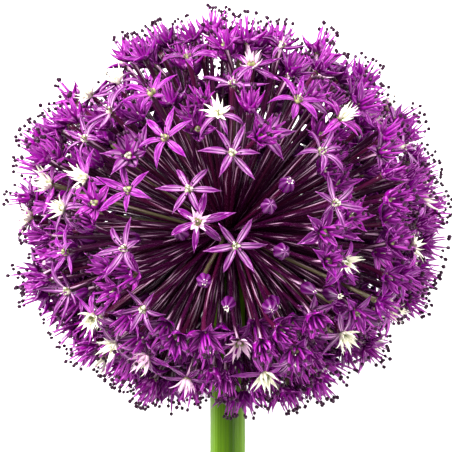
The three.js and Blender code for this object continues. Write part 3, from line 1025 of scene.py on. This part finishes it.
def tepals(sizes):
    long, wide = sizes.tepal_length, sizes.tepal_width
    ways = (((14, -8), 0.5, 4), ((30, -44), 0.5, 14), ((-2, 30), 0.6, -12), ((22, -70), 0.45, 34))
    return [blade("tepal", long, wide, TEPAL_SHAPE, 0.3 * MM, *way) for way in ways]


def cup_tepals(sizes):
    long, wide = sizes.cup_length, sizes.cup_width
    ways = (((-24, 22), 0.55), ((-20, 10), 0.5, 8), ((-28, 34), 0.6, -6), ((-14, -30), 0.4, 14))
    return [blade("tepal", long, wide, CUP_SHAPE, 0.3 * MM, *way) for way in ways]


def stamen(sizes, bend, lean):
    """A broad-based filament with its anther across the tip."""
    length, long = sizes.filament_length, sizes.anther_length
    wide = sizes.filament_width
    flesh = blade("filament", length, wide, FILAMENT_SHAPE, 0.65 * MM, bend, 0.3)
    x, z, _ = list(spine(length, bend, len(FILAMENT_SHAPE)))[-1]
    outline = ((0, -0.5), (ANTHER_SHARE, -0.26), (ANTHER_SHARE, 0.26), (0, 0.5))
    sac = turned("anther", [(long * a, long * b) for a, b in outline], 6, 2, 0.16)
    sac.transform(Matrix.Translation((x, 0, z)) @ Matrix.Rotation(math.radians(lean), 4, "Y"))
    return merged([flesh, sac])


def stamens(sizes):
    return [stamen(sizes, (-4, 10), 20), stamen(sizes, (4, -12), 70), stamen(sizes, (0, 4), -50)]


def frill_lobes(sizes):
    long, wide = sizes.lobe_length, sizes.lobe_width
    ways = (((0, 20), 0.3), ((20, -25), 0.2), ((-5, 40), 0.4))
    return [blade("frill", long, wide, LOBE_SHAPE, 0.4 * MM, *way) for way in ways]


def bud_tips(sizes):
    long = sizes.bud_length * 0.16
    return [blade("frill", long, long / 2, LOBE_SHAPE, 0.25 * MM, (0, 90), 0.3)]


def ovaries(sizes):
    r = sizes.ovary_radius
    flesh = (
        (0, -0.1), (0.55, -0.05), (0.92, 0.3), (1.0, 0.72), (0.86, 1.1), (0.45, 1.3), (0, 1.05),
    )
    style = ((0, 1), (0.16, 1), (0.09, 2.3), (0, 2.35))
    body = turned("ovary", [(r * a, r * b) for a, b in flesh], 9, 3, 0.3)
    return [merged([body, turned("frill", [(r * a, r * b) for a, b in style], 4)])]


def closed_buds(sizes):
    r, h = sizes.bud_radius, sizes.bud_length
    goblet = (
        (0, 0), (0.3, 0.01), (0.68, 0.12), (0.95, 0.34), (1.0, 0.52), (0.84, 0.72), (0.56, 0.88),
        (0.3, 0.98), (0.14, 1.0), (0, 0.94),
    )
    pointed = (
        (0, 0), (0.28, 0.01), (0.6, 0.14), (0.86, 0.34), (0.9, 0.5), (0.7, 0.7), (0.42, 0.88),
        (0.2, 1.04), (0.08, 1.12), (0, 1.13),
    )
    outlines = ([(r * a, h * b) for a, b in outline] for outline in (goblet, pointed))
    return [turned("bud", outline, 24, 6, 0.14) for outline in outlines]


# ---------------------------------------------------------------- pieces

# For each whorl of a kind of floret: what makes its organs, their count, ring radius and height
# in millimetres, pitch and its spread, turn and its spread in degrees, and size spread.
WHORLS_OF = {
    "star": {
        "Outer": (tepals, 6, 0.7, 0.2, 6, 13, 0, 9, 0.14),
        "Inner": (stamens, 6, 1.3, 0.4, 68, 9, 30, 6, 0.1),
    },
    "open": {
        "Outer": (cup_tepals, 6, 0.8, 0.2, 58, 7, 0, 7, 0.1),
        "Inner": (stamens, 6, 1.2, 0.4, 76, 7, 30, 6, 0.12),
    },
    "half": {
        "Outer": (cup_tepals, 6, 0.9, 0.1, 70, 5, 0, 6, 0.08),
        "Inner": (stamens, 6, 1.0, 0.4, 79, 5, 30, 6, 0.12),
    },
    "pale": {
        "Outer": (tepals, 6, 0.7, 0.0, -6, 22, 0, 8, 0.15),
        "Frill": (frill_lobes, 12, 1.1, 0.9, 46, 26, 10, 9, 0.25),
    },
    "bud": {"Frill": (bud_tips, 6, 0.5, 7.1, 50, 25, 0, 12, 0.3)},
}
HEARTS = {"star": ovaries, "open": ovaries, "half": ovaries, "pale": ovaries, "bud": closed_buds}
# The open florets' pieces: the span of polar angles, in degrees, of each one's florets.
OPEN_ZONES = {"upper": (0, 62), "middle": (62, 102), "lower": (102, 180)}


def place_piece(piece, nodes):
    """Declares what a finished piece rides on and stands for."""
    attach(piece, BODY)
    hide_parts(*nodes)


def organ_set(name, meshes):
    """Organs to pick from, in a collection of their own that isn't in the scene."""
    kept = bpy.data.collections.new(name)
    for i, mesh in enumerate(meshes):
        kept.objects.link(bpy.data.objects.new(f"{name} {i}", mesh))
    return kept


def drawn_looks(kind, floret, chance):
    """A floret's tint, and the sizes and pitches, in radians, of its whorls and its heart."""
    if kind == "star":
        span, lean = (0.88, 1.03), (-6, 16)
    elif floret["way"][1] > 0:
        # On the side that faces down, florets are fuller and bend back, which closes the head.
        span, lean = (1.08, 1.2), (-50, -12)
    else:
        span, lean = (0.92, 1.03), (-26, 14)
    return {
        "tint": chance.choice(TINTS, p=TINT_SHARES[kind]),
        "outer_size": chance.uniform(*span),
        "outer_pitch": math.radians(chance.uniform(*lean)),
        # A star's spent stamens have shrunk.
        "inner_size": 0.5 if kind == "star" else chance.uniform(0.9, 1.05),
        "inner_pitch": math.radians(chance.uniform(-6, 8)),
        "frill_size": chance.uniform(0.85, 1.1),
        "frill_pitch": math.radians(chance.uniform(-20, 20)),
        "heart_size": chance.uniform(0.92, 1.05),
    }


def grow_florets(name, kind, seed, zone=(0, 180)):
    """Builds the florets of a kind whose polar angles are in a zone as one plain mesh."""
    scene = bpy.context.scene
    chance = np.random.RandomState(seed)
    low, high = (math.cos(math.radians(angle)) for angle in reversed(zone))
    to_world = head_to_world()
    points, facings, rows = [], [], []
    for floret in make_florets():
        if floret["kind"] != kind or not low <= floret["way"][2] < high:
            continue
        facing = Vector((0, 0, 1)).rotation_difference(Vector(floret["facing"]))
        roll = Quaternion((0, 0, 1), floret["turn"])
        points.append(to_world @ Vector(floret["seat"]))
        facings += [*(to_world.to_quaternion() @ facing @ roll)]
        rows.append(drawn_looks(kind, floret, chance))
    mesh = bpy.data.meshes.new(name)
    mesh.from_pydata(points, [], [])
    mesh.attributes.new("facing", "QUATERNION", "POINT").data.foreach_set("value", facings)
    for key in rows[0]:
        numbers = [row[key] for row in rows]
        mesh.attributes.new(key, "FLOAT", "POINT").data.foreach_set("value", numbers)
    organs = [organ_set(f"{name} heart", HEARTS[kind](scene.allium_sizes))]
    inputs = {"Heart": organs[0], "Rest Height": REST_HEIGHT * MM, "Seed": seed}
    for whorl, (make, count, *measures, size_spread) in WHORLS_OF[kind].items():
        organs.append(organ_set(f"{name} {whorl.lower()}", make(scene.allium_sizes)))
        lengths = [length * MM for length in measures[:2]]
        angles = [math.radians(angle) for angle in measures[2:]]
        values = (organs[-1], count, *lengths, *angles, size_spread)
        inputs.update({f"{whorl} {key}": value for key, value in zip(WHORL_INPUTS, values)})
    tree = bpy.data.node_groups.get("Floret")
    tree = tree or floret_tree(scene.allium_colours, scene.allium_sizes)
    piece = run_tree(name, mesh, tree, inputs)
    for kept in organs:
        for organ in list(kept.objects):
            bpy.data.objects.remove(organ)
        bpy.data.collections.remove(kept)
    place_piece(piece, CLUSTER_NODES)


def path_mesh(name, paths):
    """Paths as edges: each is a list of (point, radius, along) with a tint."""
    points, edges, rows = [], [], []
    for path, tint in paths:
        start = len(points)
        edges += [(start + i, start + i + 1) for i in range(len(path) - 1)]
        points += [point for point, _, _ in path]
        rows += [(radius, along, tint) for _, radius, along in path]
    mesh = bpy.data.meshes.new(name)
    mesh.from_pydata(points, edges, [])
    for key, numbers in zip(("radius", "along", "tint"), zip(*rows)):
        mesh.attributes.new(key, "FLOAT", "POINT").data.foreach_set("value", numbers)
    return mesh


def grow_pedicels():
    """Builds the florets' stems as one plain mesh."""
    scene = bpy.context.scene
    chance = np.random.RandomState(PEDICEL_SEED)
    to_world = head_to_world()
    paths = []
    for floret in make_florets():
        seat, facing = Vector(floret["seat"]), Vector(floret["facing"])
        foot = Vector(foot_of(floret["way"], RECEPTACLE_RADIUS * PEDICEL_FOOT))
        span = (seat - foot).length
        bow = Vector(chance.uniform(-1, 1, 3)) * span * PEDICEL_BOW
        rising = foot.lerp(seat, FIRST_HANDLE) + foot.normalized() * span * FIRST_PUSH + bow
        ending = seat - facing * span * LAST_HANDLE + bow * 0.5
        path = []
        for t, share in PEDICEL_FORM:
            s = 1 - t
            point = foot * s**3 + rising * (3 * s * s * t) + ending * (3 * s * t * t) + seat * t**3
            path.append((to_world @ point, share * scene.allium_sizes.pedicel_radius, t))
        paths.append((path, chance.choice(TINTS, p=TINT_SHARES["pedicel"])))
    skin = pedicel_material(scene.allium_colours, scene.allium_sizes)
    tree = bpy.data.node_groups.get("Stem") or stem_tree()
    mesh = path_mesh("pedicels", paths)
    piece = run_tree("pedicels", mesh, tree, {"Sides": 6, "Material": skin})
    place_piece(piece, CLUSTER_NODES)


def grow_scape():
    """Builds the stalk, its cut end and the receptacle as one plain mesh."""
    scene = bpy.context.scene
    sizes = scene.allium_sizes
    bottom = -STALK_LENGTH
    profile = [(radius, bottom + height) for radius, height in CUT_DISH]
    for i in range(STALK_STEPS + 1):
        t = i / STALK_STEPS
        height = bottom + CUT_BEVEL + (STALK_LENGTH - NECK_LENGTH - CUT_BEVEL) * t
        radius = STALK_CUT_RADIUS + (STALK_RADIUS - STALK_CUT_RADIUS) * t
        radius *= 1 + STALK_SWELL * math.sin(STALK_SWELLS * math.tau * t) * (1 - t)
        profile.append((radius, height))
    for i in range(RECEPTACLE_STEPS + 1):
        polar = math.radians(RECEPTACLE_SPAN * (1 - i / RECEPTACLE_STEPS))
        radius = max(RECEPTACLE_RADIUS * math.sin(polar), THIN_END)
        profile.append((radius, RECEPTACLE_RADIUS * math.cos(polar)))
    to_world = head_to_world()
    path = []
    for i, (radius, height) in enumerate(profile):
        if i < len(CUT_DISH):
            along = CUT_RIM * i / (len(CUT_DISH) - 1)
        else:
            along = CUT_SHARE + (1 - CUT_SHARE) * (height - bottom) / (RECEPTACLE_RADIUS - bottom)
        path.append((to_world @ Vector((0, 0, height)), radius * MM, along))
    inputs = {
        "Sides": 4 * sizes.ridges,
        "Ridges": sizes.ridges,
        "Ridge Depth": sizes.ridge_depth / (STALK_RADIUS * MM),
        "Material": stalk_material(scene.allium_colours, sizes),
    }
    tree = bpy.data.node_groups.get("Stem") or stem_tree()
    piece = run_tree("stalk", path_mesh("stalk", [(path, 0)]), tree, inputs)
    place_piece(piece, [SCAPE_NODE])


def lay_surface(settings):
    """Matt paper: white and soft, with faint fibres, and too big to have an edge in view."""
    mesh = bpy.data.meshes.new("surface")
    side = SURFACE_HALF
    corners = [(-side, -side, 0), (side, -side, 0), (side, side, 0), (-side, side, 0)]
    mesh.from_pydata(corners, [], [(0, 1, 2, 3)])
    surface = bpy.data.objects.new("surface", mesh)
    bpy.context.scene.collection.objects.link(surface)
    paper, tree = new_material("Matt Paper", 0.5)
    shader = tree.nodes["Principled BSDF"].inputs
    shader["Roughness"].default_value = 0.9
    shader["Emission Color"].default_value = settings.floor
    shader["Emission Strength"].default_value = settings.floor_glow
    place = add(tree, "ShaderNodeTexCoord", output="Object")
    spread = {"Scale": 1 / (PAPER_FIBRES * MM), "Detail": 2.0}
    fibre = add(tree, "ShaderNodeTexNoise", place, named=spread)
    tree.links.new(coated(tree, settings.floor, (fibre, settings.fibres)), shader["Base Color"])
    mesh.materials.append(paper)


def place_camera(settings, middle, facing):
    """The camera, which looks square at the head along the third axis of facing."""
    right, up, front = facing.transposed()
    eye = bpy.data.objects.new("camera", bpy.data.cameras.new("camera"))
    eye.data.sensor_width = 36
    eye.data.lens = CAMERA_LENS
    eye.data.clip_start, eye.data.clip_end = 0.01, 20
    aside = up * CAMERA_ABOVE * MM - right * CAMERA_LEFT * MM
    offset = front * settings.camera_distance + aside
    eye.matrix_world = Matrix.Translation(middle + offset) @ facing.to_4x4()
    bpy.context.scene.collection.objects.link(eye)
    bpy.context.scene.camera = eye


def hang_lights(settings, middle, facing):
    """Three softboxes round the head and a white tent round everything."""
    scene = bpy.context.scene
    for name, aim, power, size in (
        ("left softbox", (-0.62, 0.42, 0.66), settings.key_power, 0.36),
        ("right softbox", (0.78, 0.12, 0.6), settings.fill_power, 0.5),
        ("top softbox", (0.1, 0.9, 0.42), settings.top_power, 0.35),
    ):
        way = (facing @ Vector(aim)).normalized()
        lamp = bpy.data.lights.new(name, "AREA")
        lamp.shape, lamp.size, lamp.size_y = "RECTANGLE", size, size * 0.6
        lamp.energy = power
        box = bpy.data.objects.new(name, lamp)
        box.location = middle + way * LIGHT_DISTANCE
        box.rotation_euler = way.to_track_quat("Z", "Y").to_euler()
        scene.collection.objects.link(box)
    tent = bpy.data.worlds.new("white tent")
    tent.use_nodes = True
    tent.node_tree.nodes["Background"].inputs["Color"].default_value = (1, 1, 1, 1)
    tent.node_tree.nodes["Background"].inputs["Strength"].default_value = settings.sky
    scene.world = tent
    scene.view_settings.view_transform = "Standard"


class ALLIUM_OT_stalk(Operator):
    """Builds the stalk with its receptacle"""

    bl_idname = "allium.stalk"
    bl_label = "Stalk"

    def execute(self, context):
        grow_scape()
        return {"FINISHED"}


class ALLIUM_OT_pedicels(Operator):
    """Builds the thin stems that carry the florets"""

    bl_idname = "allium.pedicels"
    bl_label = "Pedicels"

    def execute(self, context):
        grow_pedicels()
        return {"FINISHED"}


class ALLIUM_OT_star_florets(Operator):
    """Builds the florets that open flat, with their stamens spent"""

    bl_idname = "allium.star_florets"
    bl_label = "Star Florets"

    def execute(self, context):
        grow_florets("star_florets", "star", seed=10)
        return {"FINISHED"}


class ALLIUM_OT_open_florets(Operator):
    """Builds the open, cupped florets, in three zones"""

    bl_idname = "allium.open_florets"
    bl_label = "Open Florets"

    def execute(self, context):
        for i, (name, zone) in enumerate(OPEN_ZONES.items()):
            grow_florets(f"{name}_open_florets", "open", seed=20 + i, zone=zone)
        return {"FINISHED"}


class ALLIUM_OT_half_open_florets(Operator):
    """Builds the half-open florets"""

    bl_idname = "allium.half_open_florets"
    bl_label = "Half-Open Florets"

    def execute(self, context):
        grow_florets("half_open_florets", "half", seed=12)
        return {"FINISHED"}


class ALLIUM_OT_pale_florets(Operator):
    """Builds the florets with a cream frill"""

    bl_idname = "allium.pale_florets"
    bl_label = "Pale Florets"

    def execute(self, context):
        grow_florets("pale_florets", "pale", seed=13)
        return {"FINISHED"}


class ALLIUM_OT_buds(Operator):
    """Builds the buds"""

    bl_idname = "allium.buds"
    bl_label = "Buds"

    def execute(self, context):
        grow_florets("buds", "bud", seed=14)
        return {"FINISHED"}


class ALLIUM_OT_stage(Operator):
    """Builds the surface, the camera, the lights and the surround"""

    bl_idname = "allium.stage"
    bl_label = "Stage"

    def execute(self, context):
        settings = context.scene.allium_stage
        middle = head_to_world().translation
        right = Vector((1, 0, 0))
        up = Vector((0, math.cos(STALK_TILT), math.sin(STALK_TILT)))
        facing = Matrix((right, up, right.cross(up))).transposed()
        lay_surface(settings)
        place_camera(settings, middle, facing)
        hang_lights(settings, middle, facing)
        return {"FINISHED"}


class ALLIUM_PT_panel(Panel):
    """Lists the sizes, the colours, the stage's settings and the operators"""

    bl_label = "Allium"
    bl_idname = "ALLIUM_PT_panel"
    bl_space_type = "VIEW_3D"
    bl_region_type = "UI"
    bl_category = "Allium"

    def draw(self, context):
        scene = context.scene
        for settings in (scene.allium_sizes, scene.allium_colours, scene.allium_stage):
            column = self.layout.box().column()
            for name in settings.__annotations__:
                column.prop(settings, name)
        for operator in OPERATORS:
            self.layout.operator(operator.bl_idname)


OPERATORS = (
    ALLIUM_OT_stalk,
    ALLIUM_OT_pedicels,
    ALLIUM_OT_star_florets,
    ALLIUM_OT_open_florets,
    ALLIUM_OT_half_open_florets,
    ALLIUM_OT_pale_florets,
    ALLIUM_OT_buds,
    ALLIUM_OT_stage,
)
CLASSES = (AlliumSizes, AlliumColours, AlliumStage, *OPERATORS, ALLIUM_PT_panel)


def register():
    for cls in CLASSES:
        bpy.utils.register_class(cls)
    bpy.types.Scene.allium_sizes = PointerProperty(type=AlliumSizes)
    bpy.types.Scene.allium_colours = PointerProperty(type=AlliumColours)
    bpy.types.Scene.allium_stage = PointerProperty(type=AlliumStage)


def unregister():
    for name in ("allium_sizes", "allium_colours", "allium_stage"):
        delattr(bpy.types.Scene, name)
    for cls in reversed(CLASSES):
        bpy.utils.unregister_class(cls)


def main():
    register()
    bpy.ops.allium.stalk()
    bpy.ops.allium.pedicels()
    bpy.ops.allium.star_florets()
    bpy.ops.allium.open_florets()
    bpy.ops.allium.half_open_florets()
    bpy.ops.allium.pale_florets()
    bpy.ops.allium.buds()
    bpy.ops.allium.stage()


if __name__ == "__main__":
    main()
